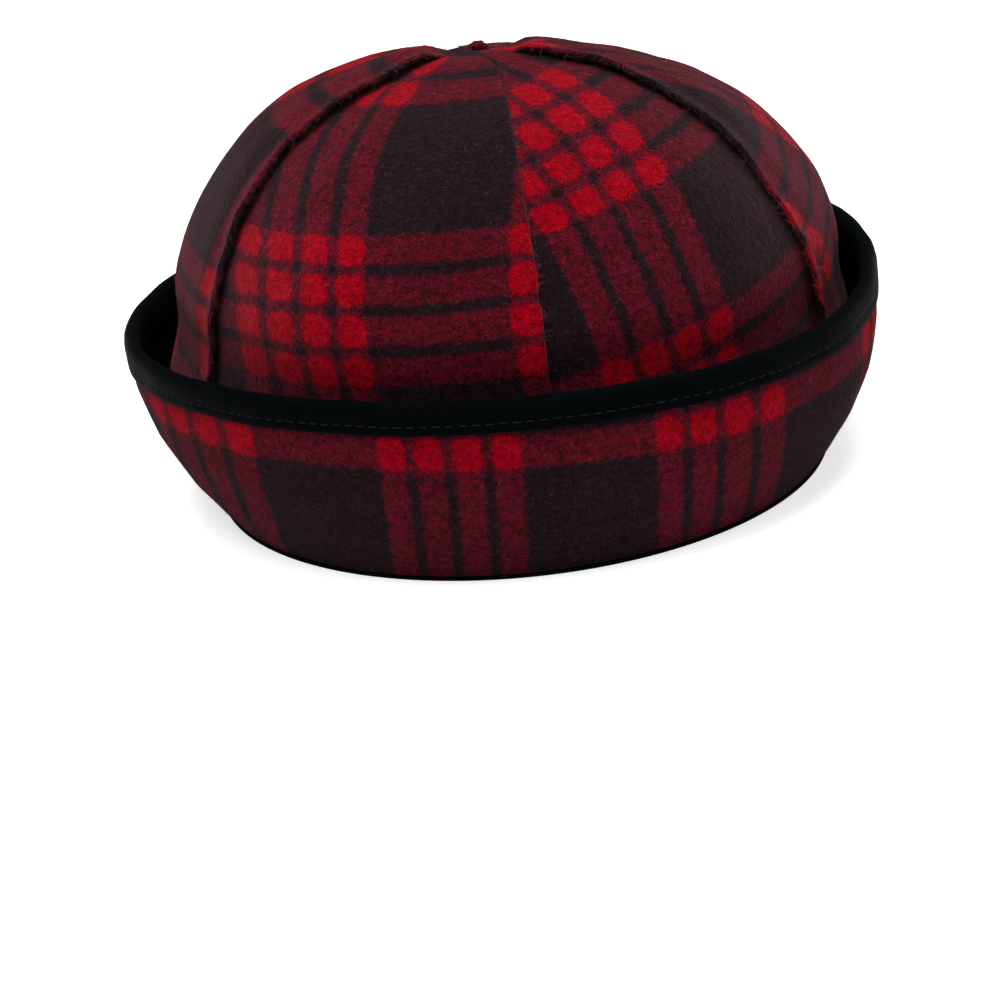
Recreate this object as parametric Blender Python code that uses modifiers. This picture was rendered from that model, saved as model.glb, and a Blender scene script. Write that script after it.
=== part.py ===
"""Brimless wool earflap cap: six lapped crown panels and a deep earflap band, worn turned up as a cuff.

Metres, +Z up. The origin is the middle of the footprint on the surface that the cap stands on.
Azimuth 0 is the front (-Y), 90 the right side (+X), 180 the back and 270 the left side.
"""

import math
from collections import namedtuple

import bmesh
import bpy
from mathutils import Matrix, Vector

# Cloth thicknesses and the air between two layers
WOOL = 0.0018
LINING_CLOTH = 0.0008
TAPE_CLOTH = 0.0007
HEAD_BAND_CLOTH = 0.0010
GAP = 0.0003
HEM_SLACK = 0.0004

# Crown: its height without the lapped edges, and its half-axes and height at its widest
CROWN_HEIGHT = 0.1186
CROWN_HALF_WIDTH = 0.0972
CROWN_HALF_DEPTH = 0.1000
CROWN_WIDEST_HEIGHT = 0.0400
CROWN_TUCK_POWER = 1.4
CROWN_RISE_POWER = 2.0
CROWN_REACH_POWER = 2.75
PANEL_PUFF = 0.0024

# Earflap band: how far its outer face tucks in below the crown at the hem and stands off from it at the top
BAND_HEIGHT = 0.0520
HEM_TUCK_SIDE = 0.0090
HEM_TUCK_FRONT = 0.0045
STAND_OFF_SIDE = 0.0090
STAND_OFF_FRONT = 0.0128

# Lapped seams of the crown: over the top edge of the head band they close to a butt, hidden by the cuff
LAP = 0.0070
LAP_CLEARANCE = 0.0010
LAP_RAMP = 0.0090
BUTT_STRIP = 0.0015
EDGE_CURL = 0.0018
CURL_REACH = 0.0200

# Apex: the hole left between the panel tips and the tack that covers it
TIP_RADIUS = 0.0018
TACK_OVERHANG = 0.0014
TACK_HALF_HEIGHT = 0.0018
LIFT_FADE = 0.0050
LAP_FADE = 0.0190

# Binding tape round the top edge of the band
TAPE_LEG = 0.0056
TAPE_STITCH = 0.0032
TAPE_SHOULDER = 0.0012
TAPE_BEAD_RADIUS = 0.0027

# Stations round each ring, the same for every layer so that their facets stay parallel
RING_STATIONS = 64
PANEL_STATIONS = 6
TAPE_BEAD_STEPS = 4
TACK_SEGMENTS = 16
TACK_RINGS = 8
DOME_ANGLES = (0, 12, 24, 35, 46, 56, 65)

# Shares of the way up from the hem to the crown's widest ring
LIFT_END_RISE = 0.28
LAP_END_RISE = 0.59
LAP_START_RISE = 0.85

# The band's profile from the hem to its raw top edge: shares of its height and of its spread there
Ring = namedtuple("Ring", "rise spread")
BAND_RINGS = (
    Ring(0.00, 0.00),
    Ring(0.10, 0.21),
    Ring(0.27, 0.52),
    Ring(0.52, 0.84),
    Ring(0.78, 1.00),
    Ring(1.00, 1.00),
)

# How the turned-up band stands round the head: shares of its height and of its spread at the top
Stand = namedtuple("Stand", "azimuth rise spread")
STANDS = (
    Stand(0, 1.00, 1.00),
    Stand(45, 0.96, 1.00),
    Stand(90, 1.01, 0.93),
    Stand(135, 1.05, 1.00),
    Stand(180, 1.02, 1.00),
    Stand(225, 1.01, 1.00),
    Stand(270, 0.99, 1.14),
    Stand(315, 1.02, 1.04),
)

# Each seam's azimuth at the hem and over the dome, which of its two panels lies on top, and its share of EDGE_CURL
Seam = namedtuple("Seam", "hem dome top_panel curl")
SEAMS = (
    Seam(-2, -2, "before", 0.2),
    Seam(61, 54, "after", 1.2),
    Seam(118, 118, "before", 0.6),
    Seam(178, 178, "before", 0.4),
    Seam(238, 238, "after", 0.6),
    Seam(293, 295, "before", 1.0),
)

# Each panel lies between the seam of its row and the next one, and swells by its share of PANEL_PUFF
Panel = namedtuple("Panel", "name puff")
PANELS = (
    Panel("crown_panel_front_right", 0.50),
    Panel("crown_panel_side_right", 0.65),
    Panel("crown_panel_back_right", 0.25),
    Panel("crown_panel_back_left", 0.35),
    Panel("crown_panel_side_left", 1.00),
    Panel("crown_panel_front_left", 0.50),
)

Finish = namedtuple("Finish", "colour roughness")
RED_WOOL = Finish((0.16, 0.010, 0.020), 0.95)
BLACK_LINING = Finish((0.012, 0.012, 0.014), 0.80)
BLACK_TAPE = Finish((0.010, 0.014, 0.016), 0.70)

LIFT = WOOL + GAP
BASE = HEAD_BAND_CLOTH + GAP
BAND_WALL = WOOL + GAP + LINING_CLOTH
TOP_ROW = len(BAND_RINGS) - 1
HEM_HALF_WIDTH = CROWN_HALF_WIDTH - HEM_TUCK_SIDE
HEM_HALF_DEPTH = CROWN_HALF_DEPTH - HEM_TUCK_FRONT
BAND_HALF_WIDTH = CROWN_HALF_WIDTH + STAND_OFF_SIDE
BAND_HALF_DEPTH = CROWN_HALF_DEPTH + STAND_OFF_FRONT
TACK_RADIUS = TIP_RADIUS + TACK_OVERHANG
LIFT_END_RADIUS = TACK_RADIUS + GAP
LAP_END_RADIUS = LIFT_END_RADIUS + LIFT_FADE
LAP_START_RADIUS = LAP_END_RADIUS + LAP_FADE


def clear_scene():
    for item in list(bpy.data.objects):
        bpy.data.objects.remove(item, do_unlink=True)


def piece(name, cells, finish):
    """A named object of the cap from a bmesh, with its own material."""
    mesh = bpy.data.meshes.new(name)
    cells.to_mesh(mesh)
    cells.free()
    mesh.shade_smooth()
    look = bpy.data.materials.new(name)
    look.use_nodes = True
    shader = look.node_tree.nodes["Principled BSDF"]
    shader.inputs["Base Color"].default_value = (*finish.colour, 1)
    shader.inputs["Roughness"].default_value = finish.roughness
    shader.inputs["Metallic"].default_value = 0
    mesh.materials.append(look)
    made = bpy.data.objects.new(name, mesh)
    made.parent = CENTRE
    CAP.objects.link(made)
    return made


def smooth_share(value, low, high):
    """0 below low, 1 above high, with a smooth climb between."""
    share = min(1, max(0, (value - low) / (high - low)))
    return share * share * (3 - 2 * share)


def stand_at(azimuth, column):
    """A column of STANDS at any azimuth, by a periodic cubic through its rows."""
    count = len(STANDS)
    step = 360 / count
    place = (azimuth % 360) / step
    row = int(place)
    share = place - row
    before, here, after, beyond = (
        getattr(STANDS[(row + k) % count], column) for k in (-1, 0, 1, 2)
    )
    return here + 0.5 * share * (
        after - before
        + share * (2 * before - 5 * here + 4 * after - beyond
                   + share * (3 * (here - after) + beyond - before))
    )


def on_oval(half_width, half_depth, azimuth, height):
    angle = math.radians(azimuth)
    return Vector((half_width * math.sin(angle), -half_depth * math.cos(angle), height))


def band_point(azimuth, row):
    """The band's outer face on one row of BAND_RINGS."""
    rise, spread = BAND_RINGS[row]
    spread *= 1 + (stand_at(azimuth, "spread") - 1) * rise
    half_width = HEM_HALF_WIDTH + (BAND_HALF_WIDTH - HEM_HALF_WIDTH) * spread
    half_depth = HEM_HALF_DEPTH + (BAND_HALF_DEPTH - HEM_HALF_DEPTH) * spread
    height = BASE + (BAND_HEIGHT * stand_at(azimuth, "rise") - BASE) * rise
    return on_oval(half_width, half_depth, azimuth, height)


def band_along(azimuth):
    angle = math.radians(azimuth)
    return Vector((BAND_HALF_WIDTH * math.cos(angle), BAND_HALF_DEPTH * math.sin(angle), 0)).normalized()


def inside_band(azimuth, row, depth):
    """The point at an even depth behind the band's outer face."""
    along = band_along(azimuth)
    here = band_point(azimuth, row)
    normals = [
        along.cross(band_point(azimuth, upper) - band_point(azimuth, upper - 1)).normalized()
        for upper in (row, row + 1) if 0 < upper <= TOP_ROW
    ]
    middle = sum(normals, Vector()).normalized()
    return here - middle * depth / middle.dot(normals[0])


def band_directions(azimuth):
    """Unit vectors up along the band's wall at its top edge, and outwards across it."""
    up = (band_point(azimuth, TOP_ROW) - band_point(azimuth, TOP_ROW - 1)).normalized()
    return up, band_along(azimuth).cross(up).normalized()


def hem_lean():
    _, spread = BAND_RINGS[1]
    return math.atan2((BAND_HALF_WIDTH - HEM_HALF_WIDTH) * spread, BAND_HEIGHT * BAND_RINGS[1].rise)


CROWN_INSET = (WOOL + LINING_CLOTH + 2 * GAP) / math.cos(hem_lean()) + HEM_SLACK
CROWN_HEM_HALF_WIDTH = HEM_HALF_WIDTH - CROWN_INSET
CROWN_HEM_HALF_DEPTH = HEM_HALF_DEPTH - CROWN_INSET


def meridian(rise):
    """Height and half-axes of the crown's base surface: rise 0 to 1 from the hem to the widest ring, 1 to 2 above."""
    if rise <= 1:
        height = BASE + (CROWN_WIDEST_HEIGHT - BASE) * rise
        tuck = (1 - rise) ** CROWN_TUCK_POWER
        half_width = CROWN_HALF_WIDTH + (CROWN_HEM_HALF_WIDTH - CROWN_HALF_WIDTH) * tuck
        half_depth = CROWN_HALF_DEPTH + (CROWN_HEM_HALF_DEPTH - CROWN_HALF_DEPTH) * tuck
        return height, half_width, half_depth
    angle = (rise - 1) * math.pi / 2
    climb = math.sin(angle) ** (2 / CROWN_RISE_POWER)
    reach = math.cos(angle) ** (2 / CROWN_REACH_POWER)
    height = CROWN_WIDEST_HEIGHT + (CROWN_HEIGHT - CROWN_WIDEST_HEIGHT) * climb
    return height, CROWN_HALF_WIDTH * reach, CROWN_HALF_DEPTH * reach


def crown_point(azimuth, rise):
    height, half_width, half_depth = meridian(rise)
    return on_oval(half_width, half_depth, azimuth, height)


def crown_normal(azimuth, rise):
    nudge = 0.002
    along = crown_point(azimuth + 1, rise) - crown_point(azimuth - 1, rise)
    up = crown_point(azimuth, min(rise + nudge, TIP_RISE)) - crown_point(azimuth, rise - nudge)
    return along.cross(up).normalized()


def rise_at_half_width(half_width):
    return 1 + math.acos((half_width / CROWN_HALF_WIDTH) ** (CROWN_REACH_POWER / 2)) * 2 / math.pi


TIP_RISE = rise_at_half_width(TIP_RADIUS)
PANEL_RISES = (
    0,
    LIFT_END_RISE,
    LAP_END_RISE,
    LAP_START_RISE,
    *(1 + angle / 90 for angle in DOME_ANGLES),
    rise_at_half_width(LAP_START_RADIUS),
    rise_at_half_width((LAP_START_RADIUS + LAP_END_RADIUS) / 2),
    rise_at_half_width(LAP_END_RADIUS),
    rise_at_half_width(LIFT_END_RADIUS),
    TIP_RISE,
)


def seam_columns(seam, own_side, rise):
    """Distances from a seam line and lifts for one panel edge, from its raw edge inwards."""
    height, half_width, _ = meridian(rise)
    dome = rise > 1
    low = smooth_share(rise, LAP_END_RISE, LAP_START_RISE)
    high = smooth_share(half_width, LAP_END_RADIUS, LAP_START_RADIUS) if dome else 1
    half_lap = LAP / 2 * low * high
    width = half_width * math.radians(60)
    edge = GAP / 2 if half_lap < GAP else -half_lap
    inner = max(half_lap, edge + min(BUTT_STRIP, width / 8))
    if seam.top_panel != own_side:
        return [(edge, 0.0), (inner, 0.0)]
    lift = LIFT * smooth_share(rise, LIFT_END_RISE, LAP_END_RISE)
    if dome:
        lift *= smooth_share(half_width, LIFT_END_RADIUS, LAP_END_RADIUS)
    lap_start_height = meridian(LAP_START_RISE)[0]
    curl = EDGE_CURL * seam.curl * high * smooth_share(height - lap_start_height, 0, CURL_REACH)
    room = width / 3 - inner
    clear = inner + min(LAP_CLEARANCE, room / 4)
    return [(edge, lift + curl), (inner, lift), (clear, lift), (inner + min(LAP_CLEARANCE + LAP_RAMP, room), 0.0)]


def seam_azimuth(seam, rise):
    return seam.hem + (seam.dome - seam.hem) * smooth_share(rise, 0.7, 1.4)


def panel_row(number, rise):
    """Azimuths and outward lifts of one row of a crown panel."""
    _, half_width, half_depth = meridian(rise)
    first, last = SEAMS[number], SEAMS[(number + 1) % len(SEAMS)]
    start = seam_azimuth(first, rise)
    end = seam_azimuth(last, rise) + (360 if number == len(SEAMS) - 1 else 0)
    start_radius = on_oval(half_width, half_depth, start, 0).length
    end_radius = on_oval(half_width, half_depth, end, 0).length
    opening = [
        (start + math.degrees(distance / start_radius), lift)
        for distance, lift in seam_columns(first, "after", rise)
    ]
    closing = [
        (end - math.degrees(distance / end_radius), lift)
        for distance, lift in seam_columns(last, "before", rise)
    ][::-1]
    span = closing[0][0] - opening[-1][0]
    puff = PANEL_PUFF * PANELS[number].puff * smooth_share(rise, LIFT_END_RISE, LAP_START_RISE)
    puff *= smooth_share(half_width, LAP_END_RADIUS, CROWN_HALF_WIDTH / 2)
    middle = []
    for k in range(1, PANEL_STATIONS):
        share = k / PANEL_STATIONS
        middle.append((opening[-1][0] + span * share, puff * math.sin(math.pi * share)))
    return opening + middle + closing


def sheet(name, finish, columns, rows, place, thickness, closed):
    """A cloth wall: a grid set out by place(column, row) on the outer face, thickened inwards."""
    cells = bmesh.new()
    bmesh.ops.create_grid(cells, x_segments=columns, y_segments=rows, size=1)
    for corner in cells.verts:
        column = round((corner.co.x + 1) / 2 * columns)
        row = round((corner.co.y + 1) / 2 * rows)
        corner.co = place(column, row)
    if closed:
        bmesh.ops.remove_doubles(cells, verts=cells.verts, dist=1e-6)
    made = piece(name, cells, finish)
    wall = made.modifiers.new("cloth", "SOLIDIFY")
    wall.thickness = thickness
    wall.offset = -1
    wall.use_even_offset = True
    return made


def crown_panel(number):
    rows = [panel_row(number, rise) for rise in PANEL_RISES]

    def place(column, row):
        azimuth, lift = rows[row][column]
        rise = PANEL_RISES[row]
        return crown_point(azimuth, rise) + crown_normal(azimuth, rise) * lift

    return sheet(PANELS[number].name, RED_WOOL, len(rows[0]) - 1, len(rows) - 1, place, WOOL, False)


def ring_azimuth(column):
    return 360 * (column % RING_STATIONS) / RING_STATIONS


def earflap_band():
    def place(column, row):
        return band_point(ring_azimuth(column), row)

    return sheet("earflap_band", RED_WOOL, RING_STATIONS, TOP_ROW, place, WOOL, True)


def earflap_lining():
    def place(column, row):
        return inside_band(ring_azimuth(column), row, WOOL + GAP)

    return sheet("earflap_lining", BLACK_LINING, RING_STATIONS, TOP_ROW, place, LINING_CLOTH, True)


def binding_section():
    """Points (outwards from the wall's middle, up from its raw edge) round the tape's outer face."""
    leg = BAND_WALL / 2 + GAP + TAPE_CLOTH
    outer = [(leg, -TAPE_LEG), (leg, -TAPE_STITCH), (TAPE_BEAD_RADIUS, -TAPE_SHOULDER)]
    bead = []
    for k in range(TAPE_BEAD_STEPS + 1):
        angle = math.pi * k / TAPE_BEAD_STEPS
        bead.append((TAPE_BEAD_RADIUS * math.cos(angle), TAPE_BEAD_RADIUS * math.sin(angle)))
    inner = [(-out, up) for out, up in reversed(outer)]
    return outer + bead + inner


def edge_binding():
    section = binding_section()

    def place(column, row):
        azimuth = ring_azimuth(column)
        up, out = band_directions(azimuth)
        outwards, upwards = section[row]
        return band_point(azimuth, TOP_ROW) + out * (outwards - BAND_WALL / 2) + up * upwards

    return sheet("edge_binding", BLACK_TAPE, RING_STATIONS, len(section) - 1, place, TAPE_CLOTH, True)


def head_band():
    """The inner band that meets the head: its foot turns out under the hem and is what the cap stands on."""
    inset = (WOOL + GAP) / math.cos(hem_lean() / 2) + HEM_SLACK
    rises = (0, 0, LIFT_END_RISE, LAP_END_RISE)

    def place(column, row):
        azimuth = ring_azimuth(column)
        if row == 0:
            return on_oval(HEM_HALF_WIDTH, HEM_HALF_DEPTH, azimuth, HEAD_BAND_CLOTH)
        height, half_width, half_depth = meridian(rises[row])
        if row == 1:
            height = HEAD_BAND_CLOTH
        return on_oval(half_width - inset, half_depth - inset, azimuth, height)

    return sheet("head_band", BLACK_LINING, RING_STATIONS, len(rises) - 1, place, HEAD_BAND_CLOTH, True)


def apex_tack():
    """The stitched knot over the panel tips: a flattened ball."""
    knot = bmesh.new()
    bmesh.ops.create_uvsphere(
        knot, u_segments=TACK_SEGMENTS, v_segments=TACK_RINGS, radius=1,
        matrix=Matrix.Diagonal((TACK_RADIUS, TACK_RADIUS, TACK_HALF_HEIGHT, 1)),
    )
    made = piece("apex_tack", knot, RED_WOOL)
    made.location.z = CROWN_HEIGHT + GAP + TACK_HALF_HEIGHT
    return made


def footprint_centre():
    """The middle of the band's top edge, which is the widest part of the cap."""
    across = band_point(90, TOP_ROW).x + band_point(270, TOP_ROW).x
    along = band_point(0, TOP_ROW).y + band_point(180, TOP_ROW).y
    return Vector((across / 2, along / 2, 0))


clear_scene()
CAP = bpy.data.collections.new("earflap_cap")
bpy.context.scene.collection.children.link(CAP)
CENTRE = bpy.data.objects.new("cap_axis", None)
CENTRE.location = -footprint_centre()
CAP.objects.link(CENTRE)
for panel_number in range(len(PANELS)):
    crown_panel(panel_number)
apex_tack()
earflap_band()
earflap_lining()
edge_binding()
head_band()
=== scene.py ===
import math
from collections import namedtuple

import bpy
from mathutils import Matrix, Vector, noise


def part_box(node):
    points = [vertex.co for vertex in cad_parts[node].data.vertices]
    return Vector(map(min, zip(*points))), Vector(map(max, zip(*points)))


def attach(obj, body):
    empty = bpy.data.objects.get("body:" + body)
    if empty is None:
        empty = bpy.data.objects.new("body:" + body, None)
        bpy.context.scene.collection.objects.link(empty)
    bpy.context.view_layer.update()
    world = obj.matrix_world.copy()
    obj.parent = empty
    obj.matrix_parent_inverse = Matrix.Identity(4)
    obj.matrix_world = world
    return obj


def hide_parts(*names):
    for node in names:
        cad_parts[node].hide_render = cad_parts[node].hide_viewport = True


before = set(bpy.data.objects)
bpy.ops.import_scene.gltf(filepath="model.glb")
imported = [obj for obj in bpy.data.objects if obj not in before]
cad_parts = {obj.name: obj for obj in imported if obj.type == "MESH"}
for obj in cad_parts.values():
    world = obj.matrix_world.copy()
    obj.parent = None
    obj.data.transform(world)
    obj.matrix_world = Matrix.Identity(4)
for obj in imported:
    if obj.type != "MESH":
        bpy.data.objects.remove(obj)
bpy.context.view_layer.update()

# %% [markdown]
# # A turned-up wool earflap cap
#
# The cap is sewn from six wool panels, a deep earflap band that is turned up as a cuff, a black lining
# inside the cuff, a binding tape round its free edge, a head band inside and a small tack at the top.
#
# The file that was just loaded holds the cap's plain solids, in metres, standing on the floor at z = 0.
# Each cell below makes one piece again as real cloth, with its weave, fuzz, seams and stitches, and puts it
# in the place of its solid. Azimuth 0 is the front of the cap (-Y), 90 is its right side (+X).


def put_in_scene(name, data):
    made = bpy.data.objects.new(name, data)
    bpy.context.scene.collection.objects.link(made)
    return made


# %% [markdown]
# ## Camera
#
# A photograph fixes where the camera stood: how far round the object, how high, how far away and how
# tilted. The camera could simply look at the middle of the cap, but in the picture the crown fills the
# upper half of the frame, so the lens points a little below it. Pointing it lower keeps the lens shift at
# zero, and other views of the scene then stay centred too.

# %% The camera
VIEW_AZIMUTH = math.radians(-4.6)
VIEW_ELEVATION = math.radians(15.6)
VIEW_ROLL = math.radians(6.5)
VIEW_DISTANCE = 0.82
VIEW_POINT = Vector((0, 0, 0.059))
FOCAL_IN_PIXELS = 2860
VIEW_POINT_IN_PICTURE = (495.5, 263.0)
PICTURE = 1000
SENSOR_MM = 36


def aim_camera():
    camera = put_in_scene("camera", bpy.data.cameras.new("camera"))
    back = Vector((
        math.sin(VIEW_AZIMUTH) * math.cos(VIEW_ELEVATION),
        -math.cos(VIEW_AZIMUTH) * math.cos(VIEW_ELEVATION),
        math.sin(VIEW_ELEVATION),
    ))
    right = Vector((0, 0, 1)).cross(back).normalized()
    up = back.cross(right)
    rolled_right = right * math.cos(VIEW_ROLL) - up * math.sin(VIEW_ROLL)
    rolled_up = right * math.sin(VIEW_ROLL) + up * math.cos(VIEW_ROLL)
    looking = Matrix((rolled_right, rolled_up, back)).transposed()
    across = (VIEW_POINT_IN_PICTURE[0] - PICTURE / 2) / FOCAL_IN_PIXELS
    upwards = (PICTURE / 2 - VIEW_POINT_IN_PICTURE[1]) / FOCAL_IN_PIXELS
    looking = looking @ Matrix.Rotation(-math.atan(upwards), 3, "X")
    looking = looking @ Matrix.Rotation(math.atan(across), 3, "Y")
    camera.matrix_world = Matrix.LocRotScale(VIEW_POINT + back * VIEW_DISTANCE, looking, None)
    camera.data.sensor_width = SENSOR_MM
    camera.data.lens = FOCAL_IN_PIXELS / PICTURE * SENSOR_MM
    camera.data.clip_start = 0.01
    bpy.context.scene.camera = camera
    return camera


camera = aim_camera()
print("camera:", [round(place, 3) for place in camera.location], f"lens {camera.data.lens:.0f} mm")

# %% [markdown]
# ## Node helpers
#
# A material in Blender is a small network of nodes, and so is a Geometry Nodes tree. Writing each node by
# hand takes many lines, so a few helpers do it: one makes a node and fills or joins its inputs by name, one
# makes a sum, and one maps a range of values onto another.

# %% Helpers for nodes


def feed(tree, socket, value):
    """Join another node's output to an input, or write a plain value there."""
    if isinstance(value, bpy.types.NodeSocket):
        tree.links.new(value, socket)
    else:
        socket.default_value = value


def add_node(tree, kind, settings=None, **inputs):
    """A node with its settings and its inputs, each a number, a colour or the output of another node."""
    made = tree.nodes.new(kind)
    for name, value in (settings or {}).items():
        setattr(made, name, value)
    for name, value in inputs.items():
        feed(tree, made.inputs[name.replace("_", " ")], value)
    return made


def sum_of(tree, operation, *values, kind="ShaderNodeMath"):
    made = add_node(tree, kind, {"operation": operation})
    for socket, value in zip(made.inputs, values):
        feed(tree, socket, value)
    return made.outputs[0]


def map_range(tree, value, start, end, shape="LINEAR"):
    """Map one range of values onto another; start and end are both (lowest, highest)."""
    made = add_node(
        tree, "ShaderNodeMapRange", {"interpolation_type": shape}, Value=value,
        From_Min=start[0], From_Max=start[1], To_Min=end[0], To_Max=end[1],
    )
    return made.outputs[0]


def colour_between(tree, share, low, high):
    made = add_node(tree, "ShaderNodeMix", {"data_type": "RGBA"})
    for index, value in ((0, share), (6, low), (7, high)):
        feed(tree, made.inputs[index], value)
    return made.outputs[2]


def speckle(tree, place, scale, detail, roughness=0.5):
    return add_node(tree, "ShaderNodeTexNoise", Vector=place, Scale=scale, Detail=detail, Roughness=roughness)


def new_material(name):
    material = bpy.data.materials.new(name)
    material.use_nodes = True
    material.node_tree.nodes.clear()
    return material, material.node_tree


def finish_material(tree, shader):
    output = tree.nodes.new("ShaderNodeOutputMaterial")
    tree.links.new(shader.outputs["BSDF"], output.inputs["Surface"])


print("node helpers ready")

# %% [markdown]
# ## Floor and light
#
# The cap stands on a plain pale floor in soft light. Soft light comes from large lamps: one above and in
# front to the left, a weaker one on the right, and a wide one over the top, with a bright even sky round
# them. The floor glows a little, and more so to the camera alone: that pales the shadow and doesn't light
# the cap from below.

# %% Floor and light
FLOOR_HALF = 3.0
FLOOR_COLOUR = (0.72, 0.72, 0.72, 1)
FLOOR_GLOW = 0.30
FLOOR_VEIL = 0.35
SKY_COLOUR = (1.0, 1.0, 1.0, 1)
SKY_STRENGTH = 0.20

Lamp = namedtuple("Lamp", "name place size watts")
LAMPS = (
    Lamp("key", (-0.45, -0.75, 1.65), 1.1, 26),
    Lamp("fill", (1.20, -0.60, 1.00), 1.0, 5),
    Lamp("top", (0.10, 0.25, 1.70), 1.4, 36),
)


def lay_floor():
    mesh = bpy.data.meshes.new("floor")
    corners = [(x * FLOOR_HALF, y * FLOOR_HALF, 0) for x, y in ((-1, -1), (1, -1), (1, 1), (-1, 1))]
    mesh.from_pydata(corners, [], [(0, 1, 2, 3)])
    floor = put_in_scene("floor", mesh)
    material, tree = new_material("pale_floor")
    place = add_node(tree, "ShaderNodeTexCoord").outputs["Object"]
    grain = speckle(tree, place, 40.0, 3.0)
    rough = map_range(tree, grain.outputs["Fac"], (0, 1), (0.65, 0.75))
    seen = add_node(tree, "ShaderNodeLightPath").outputs["Is Camera Ray"]
    glow = sum_of(tree, "MULTIPLY_ADD", seen, FLOOR_VEIL, FLOOR_GLOW)
    shader = add_node(
        tree, "ShaderNodeBsdfPrincipled", Base_Color=FLOOR_COLOUR, Roughness=rough,
        Emission_Color=SKY_COLOUR, Emission_Strength=glow,
    )
    finish_material(tree, shader)
    mesh.materials.append(material)
    return floor


def hang_lamps():
    for lamp in LAMPS:
        light = bpy.data.lights.new(lamp.name, "AREA")
        light.size = lamp.size
        light.energy = lamp.watts
        hung = put_in_scene(lamp.name, light)
        hung.location = lamp.place
        hung.rotation_euler = (Vector(lamp.place) - VIEW_POINT).to_track_quat("Z", "Y").to_euler()
    sky = bpy.data.worlds.new("sky")
    sky.use_nodes = True
    glow = sky.node_tree.nodes["Background"]
    glow.inputs["Color"].default_value = SKY_COLOUR
    glow.inputs["Strength"].default_value = SKY_STRENGTH
    bpy.context.scene.world = sky
    bpy.context.scene.view_settings.view_transform = "Standard"


lay_floor()
hang_lamps()
print("floor and", len(LAMPS), "lamps")

# %% [markdown]
# ## The shape of the cap
#
# The solids follow a few rules: rings that are ovals, a crown that tucks in at its hem and closes like a
# dome, and a band that leans out from the hem and stands off the crown. The same rules and sizes are
# written here again, so that the fine cloth lies exactly where the solids lie.

# %% Sizes of the cap
WOOL = 0.0018
LINING_CLOTH = 0.0008
TAPE_CLOTH = 0.0007
HEAD_BAND_CLOTH = 0.0010
GAP = 0.0003
HEM_SLACK = 0.0004

CROWN_HEIGHT = 0.1186
CROWN_HALF_WIDTH = 0.0972
CROWN_HALF_DEPTH = 0.1000
CROWN_WIDEST_HEIGHT = 0.0400
CROWN_TUCK_POWER = 1.4
CROWN_RISE_POWER = 2.0
CROWN_REACH_POWER = 2.75
PANEL_PUFF = 0.0024

BAND_HEIGHT = 0.0520
HEM_HALF_WIDTH = CROWN_HALF_WIDTH - 0.0090
HEM_HALF_DEPTH = CROWN_HALF_DEPTH - 0.0045
BAND_HALF_WIDTH = CROWN_HALF_WIDTH + 0.0090
BAND_HALF_DEPTH = CROWN_HALF_DEPTH + 0.0128

LAP = 0.0070
LAP_CLEARANCE = 0.0010
LAP_RAMP = 0.0190
EDGE_CURL = 0.0018
CURL_REACH = 0.0200
LIFT = WOOL + GAP
BASE = HEAD_BAND_CLOTH + GAP
LIFT_END_RISE = 0.28
LAP_END_RISE = 0.59
LAP_START_RISE = 0.85
TIP_RADIUS = 0.0018
TACK_RADIUS = TIP_RADIUS + 0.0014
TACK_HALF_HEIGHT = 0.0018
LIFT_END_RADIUS = TACK_RADIUS + GAP
LAP_END_RADIUS = LIFT_END_RADIUS + 0.0050
LAP_START_RADIUS = LAP_END_RADIUS + 0.0190

tack_low, tack_high = (Vector(corner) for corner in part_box("apex_tack"))
AXIS = Vector(((tack_low.x + tack_high.x) / 2, (tack_low.y + tack_high.y) / 2, 0))

# Each seam: its azimuth at the hem and over the dome, its upper panel, the curl and the roughness of its raw
# edge, and how far its lap is pressed in. A seam turns between two heights.
SEAM_TURNS = (0.7, 1.4)
Seam = namedtuple("Seam", "hem dome top_panel curl rough pressed")
SEAMS = (
    Seam(-2, -2, "before", 0.15, 0.4, 0.5),
    Seam(61, 54, "after", 1.2, 1.0, 0.0),
    Seam(118, 118, "before", 0.6, 1.0, 0.2),
    Seam(178, 178, "before", 0.0, 0.6, 1.0),
    Seam(238, 238, "after", 0.6, 1.0, 0.4),
    Seam(293, 295, "before", 1.2, 1.0, 0.0),
)

# Each ring of the band's profile, as shares of its height and of its spread
BAND_PROFILE = ((0.00, 0.00), (0.10, 0.21), (0.27, 0.52), (0.52, 0.84), (0.78, 1.00), (1.00, 1.00))

# How the band stands every 45 degrees from the front: shares of its height and of its spread at the top
BAND_STANDS = (
    (1.00, 1.00), (0.96, 1.00), (1.01, 0.93), (1.05, 1.00),
    (1.02, 1.00), (1.01, 1.00), (0.99, 1.14), (1.02, 1.04),
)
print("axis of the cap:", [round(place * 1000, 2) for place in AXIS], "mm")

# %% Rules that the rings follow


def smooth_share(value, low, high):
    """0 below low, 1 above high, with a smooth climb between."""
    share = min(1, max(0, (value - low) / (high - low)))
    return share * share * (3 - 2 * share)


def through(values, share):
    """A smooth curve through four values, between the second and the third."""
    before, here, after, beyond = values
    return here + 0.5 * share * (
        after - before
        + share * (2 * before - 5 * here + 4 * after - beyond
                   + share * (3 * (here - after) + beyond - before))
    )


def on_oval(half_width, half_depth, azimuth, height):
    angle = math.radians(azimuth)
    return AXIS + Vector((half_width * math.sin(angle), -half_depth * math.cos(angle), height))


def stand_at(azimuth):
    """The band's shares of height and spread at any azimuth."""
    place = (azimuth % 360) / 360 * len(BAND_STANDS)
    first = int(place)
    rows = [BAND_STANDS[(first + step) % len(BAND_STANDS)] for step in (-1, 0, 1, 2)]
    return [through([row[column] for row in rows], place - first) for column in (0, 1)]


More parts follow.
